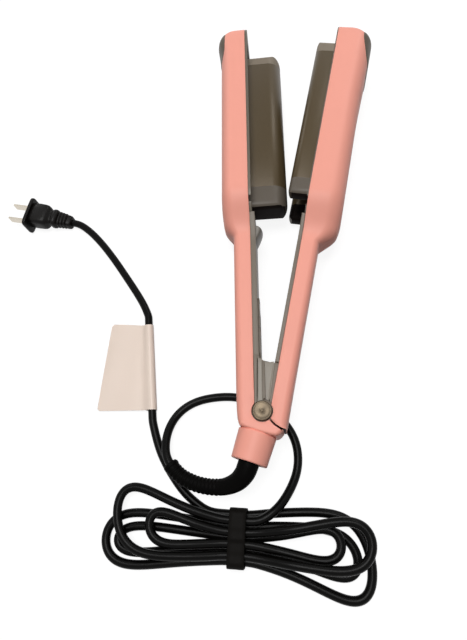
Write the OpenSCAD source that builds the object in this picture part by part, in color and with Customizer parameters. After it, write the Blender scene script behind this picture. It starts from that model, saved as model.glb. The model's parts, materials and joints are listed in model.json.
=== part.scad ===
// Hair waver: two long arms on a hinge, with wave plates that mesh when the jaws close.
// It lies on its far side. The arms are drawn closed, then the right one is turned open.
// Millimetres. X is right, Y is from the hinge to the tips, Z is up.

/* [Overall] */
// Length of each arm from the hinge axis to the tip
arm_length = 324; // [296:1:350]
// Angle between the arms at rest, degrees
open_angle = 12.3; // [9:0.1:14]
// Width of the jaws across the waves
jaw_width = 51; // [46:0.5:56]
// Depth of the left jaw shell
left_jaw_depth = 21; // [19:0.5:24]
// Depth of the right jaw shell
right_jaw_depth = 26; // [24:0.5:29]

/* [Handles] */
// Depth of each handle shell
handle_depth = 12.5; // [11:0.5:15]
// Width of the handles
handle_width = 25; // [23:0.5:28]
// Gap between the two shell edges with the arms closed
shell_gap = 10; // [9:0.5:12]
// Where the handle starts to swell into the jaw
shoulder_start = 128; // [124:1:134]
// Shell wall thickness
wall = 2; // [1.6:0.1:2.6]

/* [Jaws] */
// Length of the metal wave plates
plate_length = 124; // [100:1:130]
// Distance from the end of the plates to the tip
tip_margin = 28; // [24:1:34]
// Outward flare of the tips
tip_flare = 2; // [0:0.5:4]
// Clearance between the meshed waves
wave_gap = 1.1; // [0.8:0.1:1.6]

/* [Hinge] */
// Hinge pin diameter
pin_diameter = 5; // [4:0.5:6]
// Radius of the round hinge caps
cap_radius = 6.4; // [6:0.1:6.6]

/* [Cord] */
// Diameter of the mains cord
cord_diameter = 6; // [5.2:0.1:6.4]
// Outer radius of the collar round the swivel
collar_radius = 12.9; // [12:0.1:13.5]

/* [Hidden] */
$fn = 64;
PINK = [0.92, 0.62, 0.56];
GREY = [0.80, 0.79, 0.78];
BROWN = [0.42, 0.39, 0.35];
LINER = [0.52, 0.50, 0.47];
BLACK = [0.06, 0.06, 0.07];
METAL = [0.75, 0.75, 0.76];
BRASS = [0.75, 0.62, 0.32];

mid = jaw_width / 2;
hh = handle_width / 2;
gx = shell_gap / 2;
left_out = gx + left_jaw_depth;
right_out = gx + right_jaw_depth;
y0 = 14;
jaw_start = shoulder_start + 25;
width_end = shoulder_start + 35;
plate_end = arm_length - tip_margin;
plate_start = plate_end - plate_length;
plate_mid = (plate_start + plate_end) / 2;
tip_r = 10;
tip_y = arm_length - tip_r;
cover_end = shoulder_start + 18;
wall_a = shoulder_start + 20;
wall_b = arm_length - 13;

// Wave section, worked out from the jaw width so that the waves always mesh
twin_r = 5.6;
lane = mid - wall - 0.2 - twin_r;
hump_r = lane - twin_r - wave_gap;
valley_r = hump_r + wave_gap;
plate_back = -(left_out - wall - 10.4);
twin_x = plate_back + 2.2 + wave_gap - 0.1 + twin_r;
valley_back = right_out - wall - 3;
hump_x = valley_back - 1.4 - wave_gap - hump_r;
hump_tip = hump_x + hump_r;
twin_tip = twin_x - twin_r;

// The rest face of the left jaw is the origin of the frame
foot_x = -(gx + left_jaw_depth / 2);
foot_y = (width_end + tip_y) / 2;

function clamp01(t) = max(0, min(1, t));
function ease(t) = pow(clamp01(t), 2) * (3 - 2 * clamp01(t));
function lerp(a, b, t) = a + (b - a) * t;
// Each arm: jaw depth, where its swell starts after the shoulder, how long the steep part
// of the swell is, how far before the tip it flares, and its corner radius
LEFT = [left_jaw_depth, 2.5, 11, 14, 9];
RIGHT = [right_jaw_depth, -1, 13, 74, 12];
function swell(y, arm) =
    let (t = (y - shoulder_start - arm[1]) / arm[2])
    0.82 * ease(pow(clamp01(t), 0.75)) + 0.18 * ease(t / 2);
function half_width(y) = lerp(hh, mid, ease((y - shoulder_start - 3) / 32));
function taper(y) = 0.6 * clamp01((y - y0) / 110) - 0.3;
function depth(y, arm) =
    lerp(handle_depth + taper(y), arm[0], swell(y, arm)) + tip_flare * ease((y - tip_y + arm[3]) / arm[3]);
function tip_angle(y) = asin(clamp01((y - tip_y) / tip_r));
function edge_width(y) = half_width(y) - 4 * (1 - cos(tip_angle(y)));

/* ---------- shells: lofted skins ---------- */

// One half-round section at a station; index k runs from the near edge to the far edge
STEPS = [0, 1, 2, 3, 4, 5];
function corner(xo, h, rx, rz) = [for (k = STEPS) [xo - rx + rx * sin(18 * k), h - rz + rz * cos(18 * k)]];
function section(xo, h, rx, rz) =
    let (c = corner(xo, h, rx, rz))
    concat([[gx, h]], c, [[xo, 0]], [for (k = [5:-1:0]) [c[k][0], -c[k][1]]], [[gx, -h]]);
STATIONS = concat([y0, 40, 70, 100, 118], [for (k = [-1:10]) shoulder_start + 2.2 * k],
    [shoulder_start + 27, shoulder_start + 31, width_end],
    [for (t = [0.08, 0.2, 0.36, 0.5, 0.63, 0.75, 0.84, 0.93, 1]) lerp(width_end, tip_y, t)],
    [for (a = [18:18:90]) tip_y + tip_r * sin(a)]);
LAST = len(STATIONS) - 1;
function ring(i, arm, inset, proud) =
    let (y = STATIONS[i], a = tip_angle(y), r = tip_r - inset,
        xo = gx + depth(y, arm) - inset - r * (1 - cos(a)) + proud,
        h = half_width(y) - inset - 4 * (1 - cos(a)),
        e = swell(y, arm),
        rx = min(lerp(5, arm[4], e) - inset * 0.8, xo - gx - 1),
        rz = lerp(6, 14, e) - inset,
        yy = a > 0 ? tip_y + r * sin(a) : y)
    [for (p = section(xo, h, rx, rz)) [p[0], yy, p[1]]];
M = 14;
function at(i, k) = i * (M + 1) + k;

module shell(arm) {
    outer = [for (i = [0:LAST]) each ring(i, arm, 0, 0)];
    inner = [for (i = [0:LAST]) each ring(i, arm, wall, 0)];
    n = len(outer);
    skin = [for (i = [0:LAST - 1]) for (k = [0:M - 1])
        each [[at(i, k), at(i, k + 1), at(i + 1, k + 1)], [at(i, k), at(i + 1, k + 1), at(i + 1, k)]]];
    lining = [for (f = skin) [n + f[2], n + f[1], n + f[0]]];
    rims = [for (i = [0:LAST - 1]) each [
        [at(i, 0), at(i + 1, 0), n + at(i + 1, 0)], [at(i, 0), n + at(i + 1, 0), n + at(i, 0)],
        [at(i, M), n + at(i, M), n + at(i + 1, M)], [at(i, M), n + at(i + 1, M), at(i + 1, M)]]];
    heel = [for (k = [0:M - 1]) each [
        [at(0, k), n + at(0, k), n + at(0, k + 1)], [at(0, k), n + at(0, k + 1), at(0, k + 1)]]];
    nose = [[for (k = [0:M]) at(LAST, k)]];
    nose_in = [[for (k = [M:-1:0]) n + at(LAST, k)]];
    lip = [[at(LAST, M), n + at(LAST, M), n + at(LAST, 0)], [at(LAST, M), n + at(LAST, 0), at(LAST, 0)]];
    translate([0, 0, mid])
        polyhedron(points = concat(outer, inner),
            faces = concat(skin, lining, rims, heel, nose, nose_in, lip));
}

// A thin skin over the outer corner of a tip, on the same stations as the shell
module tip_patch(arm, first, last, ka, kb) {
    w = kb - ka + 1;
    rows = last - first + 1;
    under = [for (i = [first:last]) let (r = ring(i, arm, 0, 0)) for (k = [ka:kb]) r[k]];
    over = [for (i = [first:last]) let (r = ring(i, arm, 0, 0.8)) for (k = [ka:kb]) r[k]];
    n = len(under);
    top = [for (i = [0:rows - 2]) for (k = [0:w - 2]) each [
        [n + i * w + k, n + i * w + k + 1, n + (i + 1) * w + k + 1],
        [n + i * w + k, n + (i + 1) * w + k + 1, n + (i + 1) * w + k]]];
    base = [for (f = top) [f[2] - n, f[1] - n, f[0] - n]];
    sides = concat(
        [for (i = [0:rows - 2]) each [
            [i * w, n + i * w, n + (i + 1) * w], [i * w, n + (i + 1) * w, (i + 1) * w]]],
        [for (i = [0:rows - 2]) let (j = i * w + w - 1) each [
            [j, j + w, n + j + w], [j, n + j + w, n + j]]],
        [for (k = [0:w - 2]) each [[k, k + 1, n + k + 1], [k, n + k + 1, n + k]]],
        [for (k = [0:w - 2]) let (j = (rows - 1) * w + k) each [
            [j, n + j, n + j + 1], [j, n + j + 1, j + 1]]]);
    translate([0, 0, mid])
        polyhedron(points = concat(under, over), faces = concat(top, base, sides));
}

/* ---------- helpers ---------- */

module placed() {
    translate([-foot_x, -foot_y, 0])
        children();
}
module left() {
    placed()
        children();
}
module right() {
    placed()
        rotate([0, 0, -open_angle])
        children();
}
// Outline in the plane of a cover (first value along Y, second across), pushed out along X
module slab(x0, x1) {
    translate([x0, 0, mid])
        rotate([90, 0, 90])
        linear_extrude(x1 - x0)
        children();
}
// Section in the XZ plane run along Y
module along(ya, yb) {
    translate([0, yb, mid])
        rotate([90, 0, 0])
        linear_extrude(yb - ya)
        children();
}
// Plan outline run through the height, symmetric about the middle
module through(h) {
    translate([0, 0, mid - h])
        linear_extrude(2 * h)
        children();
}
module arm_outline(ya, yb, inset) {
    ys = concat([ya], [for (k = [1:9]) lerp(ya, yb, k / 10)], [yb]);
    polygon(concat([for (y = ys) [y, edge_width(y) - inset]],
        [for (k = [len(ys) - 1:-1:0]) [ys[k], -edge_width(ys[k]) + inset]]));
}
module tip_outline(ya, inset) {
    ys = concat([ya], [for (a = [0:18:90]) tip_y + (tip_r - inset) * sin(a)]);
    polygon(concat([for (y = ys) [y, edge_width(y) - inset]],
        [for (k = [len(ys) - 1:-1:0]) [ys[k], -edge_width(ys[k]) + inset]]));
}
module rounded(w, h, r) {
    square([w - 2 * r, h], center = true);
    square([w, h - 2 * r], center = true);
    for (x = [-1, 1])
        for (y = [-1, 1])
            translate([x * (w / 2 - r), y * (h / 2 - r)])
                circle(r);
}

/* ---------- wave sections (X across the jaws, Y up) ---------- */

module hump_2d(inset) {
    translate([plate_back, -hump_r + inset])
        square([hump_x - plate_back, 2 * (hump_r - inset)]);
    translate([hump_x, 0])
        circle(hump_r - inset);
}
module wings_2d() {
    difference() {
        translate([plate_back, -mid + wall + 0.2])
            square([-6 - plate_back, 2 * (mid - wall - 0.2)]);
        for (s = [-1, 1])
            translate([twin_x, s * lane])
                circle(twin_r + wave_gap - 0.1);
    }
}
module left_section_2d() {
    hump_2d(0);
    wings_2d();
}
module ridge_2d(inset) {
    translate([twin_x, 0])
        circle(twin_r - inset);
    translate([twin_x, -twin_r + inset])
        square([8 - twin_x, 2 * (twin_r - inset)]);
}
module twin_2d(inset) {
    for (s = [-1, 1])
        translate([0, s * lane])
            ridge_2d(inset);
}
module valley_2d() {
    difference() {
        translate([6.4, -valley_r - 1.6])
            square([valley_back - 6.4, 2 * valley_r + 3.2]);
        translate([hump_x, 0])
            circle(valley_r);
        translate([0, -valley_r])
            square([hump_x, 2 * valley_r]);
    }
}
module right_section_2d() {
    twin_2d(0);
    valley_2d();
}
// Plan of a cap whose outer corner at the hump tip is rounded: side a is square, side b round
module cap_plan(xa, xb, ya, yb, r, round_low) {
    tipx = xb > xa ? xb - r : xb + r;
    lo = min(xa, xb);
    hi = max(xa, xb);
    yr = round_low ? ya + r : yb - r;
    difference() {
        translate([lo, ya])
            square([hi - lo, yb - ya]);
        translate([min(tipx, xb), round_low ? ya - 1 : yr])
            square([r + 1 > 0 ? abs(xb - tipx) : 0, r + 1]);
    }
    intersection() {
        translate([tipx, yr])
            circle(r);
        translate([lo, ya])
            square([hi - lo, yb - ya]);
    }
}
// Outline of a cap across the jaw, half width h, its free end rounded by r (low: the end near the hinge)
module end_outline(ya, yb, h, r, low) {
    e = low ? ya + r : yb - r;
    translate([low ? e : ya, -h])
        square([low ? yb - e : e - ya, 2 * h]);
    translate([low ? ya : e, -h + r])
        square([r, 2 * (h - r)]);
    for (s = [-1, 1])
        translate([e, s * (h - r)])
            circle(r);
}

/* ---------- left arm ---------- */

module left_shell() {
    color(PINK)
    left()
        mirror([1, 0, 0])
        shell(LEFT);
}
module left_tip_insert() {
    color(LINER)
    left()
        mirror([1, 0, 0])
        tip_patch(LEFT, LAST - 7, LAST - 2, 4, 10);
}
module left_inner_cover() {
    color(LINER)
    left()
    difference() {
        union() {
            slab(-gx, -1.2)
                arm_outline(36, cover_end, 0.8);
            slab(-gx - 2, -gx)
                arm_outline(40, shoulder_start - 2, wall + 0.3);
            for (s = [-1, 1])
                translate([0, 0, mid + s * 10.9 - 0.8])
                    linear_extrude(1.6)
                    polygon([[-gx, 8.1], [2.4, 8.1], [2.4, 33], [-1.2, 36.4], [-1.2, 38], [-gx, 38]]);
        }
        slab(-gx - 3, -gx)
            translate([43, -7.8])
            square([shoulder_start - 48, 15.6]);
        for (b = [[50, 3.15], [58, 3.65], [66, 3.15]])
            slab(-gx - 3, 1)
                translate([b[0], 0])
                circle(b[1]);
    }
}
module control_panel() {
    color(LINER)
    left()
    slab(-1.2, -0.1)
        difference() {
            polygon([[36, -4.6], [38, -6.2], [42, -7.4], [77, -7.4], [80.6, -6.2], [82, -4.6],
                [82, 4.6], [80.6, 6.2], [77, 7.4], [42, 7.4], [38, 6.2], [36, 4.6]]);
            for (b = [[50, 3.15], [58, 3.65], [66, 3.15]])
                translate([b[0], 0])
                    circle(b[1]);
            translate([75, 0])
                rounded(8.2, 8.2, 1.6);
        }
}
module display_window() {
    color(BLACK)
    left()
    slab(-1.2, 0)
        translate([75, 0])
        rounded(8, 8, 1.5);
}
module button(y, r) {
    left()
    {
        slab(-6.2, -0.3)
            translate([y, 0])
            circle(r);
        slab(-6.2, -5.1)
            translate([y, 0])
            rounded(2 * r, 2 * r + 3, 1);
    }
}
module power_button() {
    color(PINK)
    button(58, 3.5);
}
module plus_button() {
    color(LINER)
    button(66, 3);
}
module minus_button() {
    color(LINER)
    button(50, 3);
}
module tact_switches() {
    color(BLACK)
    left()
    for (y = [50, 58, 66]) {
        slab(-8, -7.4)
            translate([y - 2.5, -2.5])
            square(5);
        slab(-7.4, -6.9)
            translate([y, 0])
            circle(1.3);
    }
}
module control_board() {
    color([0.1, 0.35, 0.2])
    left()
    slab(-9.6, -8)
        translate([42, -8.5])
        square([68, 17]);
}
STOP = [[0, 12.5], [1.8, 12.2], [3.1, 11.6], [4.3, 10.7], [4.9, 9.7], [4.95, 8.5], [4.6, 7.2],
    [3.9, 5.3], [3.1, 3.5], [2, 1.3], [0.9, -0.8], [0, -2]];
module closing_stop() {
    color(BROWN)
    left()
    for (d = [[3, 1], [5.5, 0.9], [7.5, 0.72], [8.8, 0.45]])
        through(d[0])
            polygon([for (p = STOP)
                [p[0] * d[1] - 1.2, shoulder_start + 8 + (p[1] - 8) * (0.5 + 0.5 * d[1])]]);
}
module left_jaw_frame() {
    color(BROWN)
    left() {
        slab(-gx, -3)
            difference() {
                union() {
                    arm_outline(cover_end, 200, 0.3);
                    tip_outline(180, 0.3);
                }
                translate([wall_a + 4, -mid + wall - 0.1])
                    square([wall_b - wall_a - 4, 2 * (mid - wall + 0.1)]);
            }
        for (y = [wall_a, wall_b])
            slab(plate_back - 1.6, -3)
                translate([y, -15])
                square([4, 30]);
        slab(plate_back - 1.6, plate_back)
            translate([wall_a, -13.5])
            square([wall_b - wall_a + 4, 27]);
    }
}
module centre_wave_plate() {
    color(BROWN)
    left()
    along(plate_start, plate_end)
        difference() {
            left_section_2d();
            hump_2d(1.8);
        }
}
module left_cap(ya, yb, low) {
    left()
    difference() {
        intersection() {
            union() {
                intersection() {
                    along(ya, yb)
                        hump_2d(0);
                    slab(plate_back - 1, hump_tip + 1)
                        end_outline(ya, yb, hump_r, low ? 5 : 2.5, low);
                }
                intersection() {
                    along(ya, yb)
                        wings_2d();
                    slab(plate_back - 1, 0)
                        end_outline(ya, yb, mid - wall - 0.2, low ? 6 : 3, low);
                }
            }
            through(mid)
                cap_plan(plate_back, hump_tip, ya, yb, 6.5, low);
            slab(plate_back - 1, hump_tip + 1)
                arm_outline(ya, yb, wall + 0.2);
        }
        along(low ? ya + 7 : ya - 1, low ? yb + 1 : yb - 3)
            intersection() {
                hump_2d(2.4);
                translate([plate_back - 1, -mid])
                    square([hump_tip - plate_back - 5, 2 * mid]);
            }
    }
}
module left_cap_top() {
    color(LINER)
    left_cap(plate_end, plate_end + 8.5, false);
}
module left_cap_bottom() {
    color(LINER)
    left_cap(plate_start - 18, plate_start, true);
}
module left_heater() {
    color([0.9, 0.9, 0.86])
    left()
    along(plate_start + 4, plate_end - 4)
        translate([plate_back + 4, -1.75])
        square([18 + hump_tip - 23.5 - plate_back - 4, 3.5]);
}
module left_heat_spreaders() {
    color(METAL)
    left()
    along(plate_start + 2, plate_end - 2)
        difference() {
            hump_2d(1.85);
            translate([plate_back - 1, -1.75])
                square([60, 3.5]);
        }
}
module left_thermistor() {
    color(BRASS)
    left()
    translate([hump_tip - 3.7, plate_mid, mid])
        sphere(1.7);
}

/* ---------- right arm ---------- */

module right_shell() {
    color(PINK)
    right()
        shell(RIGHT);
}
module right_tip_insert() {
    color(LINER)
    right()
        tip_patch(RIGHT, LAST - 7, LAST - 2, 4, 10);
}
module right_inner_cover() {
    color(LINER)
    right() {
        slab(2.2, gx)
            arm_outline(33.8, cover_end, 0.8);
        slab(gx, gx + 2)
            difference() {
                arm_outline(40, shoulder_start - 4, wall + 0.3);
                translate([44, -7.8])
                    square([shoulder_start - 52, 15.6]);
            }
    }
}
module right_jaw_frame() {
    color(GREY)
    right() {
        slab(gx - 0.8, gx)
            difference() {
                union() {
                    arm_outline(cover_end, 200, 0.3);
                    tip_outline(180, 0.3);
                }
                translate([wall_a + 3, -mid + wall - 0.1])
                    square([wall_b - wall_a - 3, 2 * (mid - wall + 0.1)]);
            }
        for (y = [wall_a, wall_b])
            slab(gx - 0.8, valley_back + 0.2)
                translate([y, -11])
                square([3, 22]);
        slab(valley_back + 0.2, valley_back + 1.8)
            translate([wall_a, -7.5])
            square([wall_b - wall_a + 3, 15]);
    }
}
module twin_wave_plate() {
    color(BROWN)
    right()
    along(plate_start, plate_end)
        difference() {
            right_section_2d();
            twin_2d(1.6);
        }
}
module right_cap(ya, yb, low) {
    right()
    intersection() {
        union() {
            for (s = [-1, 1])
                intersection() {
                    along(ya, yb)
                        translate([0, s * lane])
                        ridge_2d(0);
                    slab(twin_tip - 1, 9)
                        translate([0, s * lane])
                        end_outline(ya, yb, twin_r, 5, low);
                }
            along(ya, yb)
                valley_2d();
        }
        through(mid)
            cap_plan(valley_back, twin_tip, ya, yb, 5.5, low);
        slab(twin_tip - 1, valley_back + 1)
            arm_outline(ya, yb, wall + 0.2);
    }
}
module right_cap_top() {
    color(LINER)
    right_cap(plate_end, plate_end + 11.6, false);
}
module right_cap_bottom() {
    color(LINER)
    right_cap(plate_start - 14, plate_start, true);
}
module right_heaters() {
    color([0.9, 0.9, 0.86])
    right()
    along(plate_start + 4, plate_end - 4)
        for (s = [-1, 1])
            translate([twin_x - 1.4, s * lane - 1.2])
                square([12, 2.4]);
}
module right_heat_spreaders() {
    color(METAL)
    right()
    along(plate_start + 2, plate_end - 2)
        difference() {
            twin_2d(1.65);
            for (s = [-1, 1])
                translate([twin_tip, s * lane - 1.2])
                    square([40, 2.4]);
        }
}
module right_thermistor() {
    color(BRASS)
    right()
    translate([twin_x - 2.6, plate_mid, mid + lane])
        sphere(1.15);
}

/* ---------- hinge ---------- */

module bore(r) {
    translate([0, 0, -5])
        cylinder(r = r, h = jaw_width + 10);
}
// Section of a housing between two sides, with the corners that the shells have
heel_x = gx + handle_depth - 0.3;
module housing_2d(xl, xr) {
    a = corner(xr, hh, 5, 6);
    b = corner(-xl, hh, 5, 6);
    polygon(concat(a, [for (k = [5:-1:0]) [a[k][0], -a[k][1]]], [for (p = b) [-p[0], -p[1]]],
        [for (k = [5:-1:0]) [-b[k][0], b[k][1]]]));
}
module left_hinge_housing() {
    color(PINK)
    left()
    difference() {
        union() {
            difference() {
                intersection() {
                    along(-20, y0)
                        housing_2d(-heel_x, 14.4);
                    through(hh)
                        polygon([[-heel_x, y0], [0.2 - heel_x, 0], [-15.85, -7.79],
                            [8.32, -15.86], [14.4, -12.6], [14.4, 0], [-gx, 0], [-gx, y0]]);
                }
                translate([19.3, 4.4, 0])
                    bore(17.8);
                bore(7);
            }
            translate([0, 0, mid - 10.3])
                cylinder(r = 8, h = 20.6);
        }
        bore(pin_diameter / 2 + 0.05);
        translate([0, 0, mid - 5])
            cylinder(r = 8.4, h = 10);
        tail()
            translate([0, 0, -3.4])
            cylinder(r = 6.5, h = 4);
    }
}
module right_hinge_housing() {
    color(PINK)
    right()
    difference() {
        intersection() {
            along(-12, y0)
                polygon(section(heel_x, hh, 5, 6));
            through(hh)
                intersection() {
                    translate([17.9, 8.4])
                        circle(17);
                    translate([gx, -12])
                        square([heel_x - gx, 12 + y0]);
                }
        }
        bore(7);
        translate([0, 0, mid - 10.6])
            cylinder(r = 8.5, h = 21.2);
        translate([gx - 1, -1, mid - 4.7])
            cube([10.5, 20, 9.4]);
    }
}
module right_hinge_arm() {
    color(GREY)
    right()
    difference() {
        union() {
            translate([0, 0, mid - 4.7])
                cylinder(r = 8, h = 9.4);
            translate([gx, 0, mid - 4.7])
                cube([9.5, 39.6, 9.4]);
            through(9.8)
                polygon([[5, 8.8], [-0.9, 8.8], [-6.2, 33.4], [5, 33.4]]);
        }
        bore(pin_diameter / 2 + 0.05);
        translate([0, 0, mid - 1.7])
            cylinder(r = 5.2, h = 3.4);
    }
}
module hinge_pin() {
    color(METAL)
    left()
    translate([0, 0, mid - 11])
        cylinder(r = pin_diameter / 2, h = 22.5);
}
module hinge_cap(s) {
    left()
    translate([0, 0, mid])
        rotate([s > 0 ? 0 : 180, 0, 0])
        difference() {
            union() {
                translate([0, 0, 10.5])
                    cylinder(r = cap_radius, h = 3);
                translate([0, 0, 13.5])
                    cylinder(r1 = cap_radius, r2 = cap_radius - 0.5, h = 0.5);
            }
            translate([0, 0, 10])
                cylinder(r = pin_diameter / 2 + 0.02, h = 1.52);
        }
}
module hinge_cap_near() {
    color(METAL)
    hinge_cap(1);
}
module hinge_cap_far() {
    color(METAL)
    hinge_cap(-1);
}
module hinge_washers() {
    color(METAL)
    left()
    for (s = [-1, 1])
        translate([0, 0, mid + s * 4.85 - 0.1])
            difference() {
                cylinder(r = 6, h = 0.2);
                translate([0, 0, -1])
                    cylinder(r = pin_diameter / 2 + 0.1, h = 3);
            }
}

/* ---------- tubes ---------- */

function unit(v) = v / norm(v);
function add_up(v, i = 0, s = 0) = i >= len(v) ? s : add_up(v, i + 1, s + v[i]);
function path_length(p) = add_up([for (i = [1:len(p) - 1]) norm(p[i] - p[i - 1])]);
function tangent(p, i) = unit(p[min(i + 1, len(p) - 1)] - p[max(i - 1, 0)]);
function side_of(t) = unit([t[1], -t[0], 0]);
// Smooth curve through points, n steps between each pair
function spline_at(a, b, c, d, t) = 0.5 * ((2 * b) + (c - a) * t + (2 * a - 5 * b + 4 * c - d) * t * t
    + (3 * b - a - 3 * c + d) * t * t * t);
function smooth(p, n) = concat([for (i = [0:len(p) - 2]) for (k = [0:n - 1])
    spline_at(p[max(i - 1, 0)], p[i], p[i + 1], p[min(i + 2, len(p) - 1)], k / n)], [p[len(p) - 1]]);
// Closed skin over rings of equal count
module skin(points, sides) {
    rows = len(points) / sides;
    body = [for (i = [0:rows - 2]) for (k = [0:sides - 1]) let (j = (k + 1) % sides) each [
        [i * sides + k, (i + 1) * sides + k, (i + 1) * sides + j],
        [i * sides + k, (i + 1) * sides + j, i * sides + j]]];
    polyhedron(points = points, faces = concat(body, [[for (k = [0:sides - 1]) k]],
        [[for (k = [sides - 1:-1:0]) (rows - 1) * sides + k]]));
}
module tube(path, radii, sides) {
    skin([for (i = [0:len(path) - 1]) let (t = tangent(path, i), u = side_of(t), v = cross(u, t))
        for (k = [0:sides - 1])
            path[i] + radii[i] * (u * cos(360 * k / sides) + v * sin(360 * k / sides))], sides);
}
module even_tube(path, r, sides) {
    tube(path, [for (p = path) r], sides);
}

module torsion_spring() {
    color(METAL)
    left()
    even_tube([for (k = [0:36]) [3.15 * cos(24 * k), 3.15 * sin(24 * k), mid - 1.15 + 2.3 * k / 36]], 0.45, 6);
}

/* ---------- tail end of the hinge ---------- */

module tail() {
    translate([-3.9, -11.8, mid])
        rotate([90, 0, -18.5])
        children();
}
module cord_collar() {
    color(PINK)
    left()
    tail()
    difference() {
        cylinder(r1 = collar_radius, r2 = collar_radius - 0.8, h = 20);
        translate([0, 0, -1])
            cylinder(r = 9.1, h = 22);
        translate([0, 0, 6])
            cylinder(r = 10.3, h = 3.2);
    }
}
module swivel_sleeve() {
    color(BLACK)
    left()
    tail() {
        translate([0, 0, 0.4])
            cylinder(r = 9, h = 18.4);
        translate([0, 0, 6.2])
            cylinder(r = 10.1, h = 2.8);
        translate([0, 0, -2.8])
            cylinder(r = 3, h = 4);
    }
}
module contact_rings() {
    color(BRASS)
    left()
    tail()
    for (z = [-2.6, -1.2])
        translate([0, 0, z])
            difference() {
                cylinder(r = 3.6, h = 0.9);
                translate([0, 0, -1])
                    cylinder(r = 3, h = 3);
            }
}
module contact_brushes() {
    color(BRASS)
    left()
    tail()
    for (z = [-2.6, -1.2])
        translate([3.9, -1, z])
            cube([2.45, 2, 0.9]);
}

/* ---------- cord: routes in millimetres, hinge at 0, 0 ---------- */

cord_r = cord_diameter / 2;
BOOT = concat([[-9.898, -29.723, mid]], smooth([[-10.9, -32.72, mid], [-13.4, -37.6, 24.3],
    [-18.6, -42.2, 21.2], [-27, -44.9, 17.6], [-37, -44.8, 14.8], [-47, -42.6, 12.9],
    [-56.4, -38.3, 11.8], [-62.2, -33.4, 11.3], [-65.4, -29.4, 11.2]], 6));
module cord_boot() {
    color(BLACK)
    left() {
        n = len(BOOT) - 1;
        tube(BOOT, [for (i = [0:n]) let (s = i / n)
            lerp(7, 5.3, ease(s * 2)) - 0.2 * s + (s > 0.4 && s < 0.96 && i % 2 == 0 ? 0.25 : 0)], 12);
    }
}
// The hank: eight lobes, left and right by turns, between nine passes through the tie.
// A pass has its lane across the tie and its layer. A lobe has its reach, its rise
// sideways, its half width, and how far it lifts over what it crosses.
TIE = [-20, -76];
waist = 9;
lane_step = cord_diameter + 0.95;
PASSES = [[1.5, 1], [-1.5, 1], [0.5, 1], [-0.5, 1], [0, 0], [-1, 0], [1, 0], [-2, 0], [2, 0]];
LOBES = [[81, 12, 13.6, 0], [84, 6, 10, 6.3], [59, 5, 7.6, 0], [66, 2, 8.5, 0], [82, -3, 6.2, 0],
    [76, -9, 9, 0], [90, -3, 9.8, 0], [84, -12, 16, 0]];
function layer(n) = cord_r + n * (cord_diameter + 0.6);
function laid(x, y, z) = [TIE[0] + x, TIE[1] + y - 0.07 * x, z + 1.2 * ease((30 - abs(x)) / 21)];
function lobe_point(i, t) =
    let (a = PASSES[i], b = PASSES[i + 1], l = LOBES[i], out = sin(180 * t), side = a[0] > b[0] ? 1 : -1,
        y = lane_step * lerp(a[0], b[0], ease(t)) + l[1] * out * out
            + side * l[2] * sin(360 * t) * (1 - 0.5 * cos(360 * t)) / 1.1,
        z = lerp(layer(a[1]), layer(b[1]), ease((t - 0.84) / 0.16)) + l[3] * ease(2.6 * out))
    laid((i % 2 == 0 ? -1 : 1) * (waist + (l[0] - waist) * out), y, z);
HANK = concat([laid(waist + 2, PASSES[0][0] * lane_step, layer(1))],
    [for (i = [0:7]) for (k = [0:12]) lobe_point(i, k / 12 + 0.0716 * sin(30 * k))],
    [for (x = [-waist, -waist - 2]) laid(x, PASSES[8][0] * lane_step, layer(0))]);
// A path leaves or meets another straight along it, with a hair of clearance between their end faces
function onward(p, d) = let (n = len(p) - 1) p[n] + d * unit(p[n] - p[n - 1]);
function before(p, d) = p[0] + d * unit(p[0] - p[1]);
LEAD = concat([onward(BOOT, 0.1)], smooth([onward(BOOT, 4), [-69.3, -20, 10], [-69.5, -11.5, 7.9],
    [-67.6, -2.8, 5.5], [-63.4, 4.9, 3.6], [-56.2, 11.2, cord_r], [-46.1, 15.4, cord_r],
    [-32.2, 17.3, cord_r], [-19.1, 16.5, cord_r], [-5.5, 12.2, cord_r], [6.6, 4.5, cord_r],
    [15.4, -5.1, cord_r], [20.3, -15.2, cord_r], [21.7, -25.8, cord_r], [20.2, -36, 3.4],
    [15.8, -46, 5.2], [10, -54.8, 8.2], [4.6, -60.3, 10.2], [-1.8, -64.5, 11], before(HANK, 3)], 2), [before(HANK, 0.1)]);
module cord_lead() {
    color(BLACK)
    left()
    even_tube([for (p = LEAD) [p[0], p[1], max(p[2], cord_r)]], cord_r, 8);
}

module cord_hank() {
    color(BLACK)
    left()
    even_tube(HANK, cord_r, 6);
}
TAIL = concat([onward(HANK, 0.1)], smooth([onward(HANK, 5), [-42.2, -58.9, 3.2],
    [-48.3, -54.7, cord_r], [-55.4, -48.8, cord_r], [-62, -41, cord_r], [-68, -32.2, cord_r],
    [-73.8, -21.8, cord_r], [-78, -10.5, cord_r], [-81.2, 1.5, cord_r + 0.5],
    [-81.7, 7, cord_r + 0.5], [-88.03, 77.2, cord_r + 0.5], [-88.5, 82.4, cord_r + 0.5],
    [-93, 92.8, cord_r], [-99.7, 104, cord_r], [-108, 116.7, cord_r], [-117.2, 130.4, cord_r],
    [-125.5, 142, cord_r], [-134.4, 153.2, cord_r], [-144, 163.4, 3.6], [-153.75, 171.08, 4.2]], 2),
    [[-159.6, 172.4, 4.2]]);
module cord_tail() {
    color(BLACK)
    left()
    even_tube([for (p = TAIL) [p[0], p[1], max(p[2], cord_r)]], cord_r, 8);
}
module cable_tie() {
    color(BLACK)
    left()
    translate([TIE[0], TIE[1], 0])
        rotate([0, 0, -4])
        rotate([90, 0, 90])
        translate([0, 1.2 * cord_diameter + 0.6, -5.5])
        linear_extrude(11)
        difference() {
            rounded(4 * lane_step + cord_diameter + 2.6, 2.4 * cord_diameter + 1.2, 4.2);
            rounded(4 * lane_step + cord_diameter + 0.6, 2.4 * cord_diameter - 0.4, 3.3);
        }
}
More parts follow.
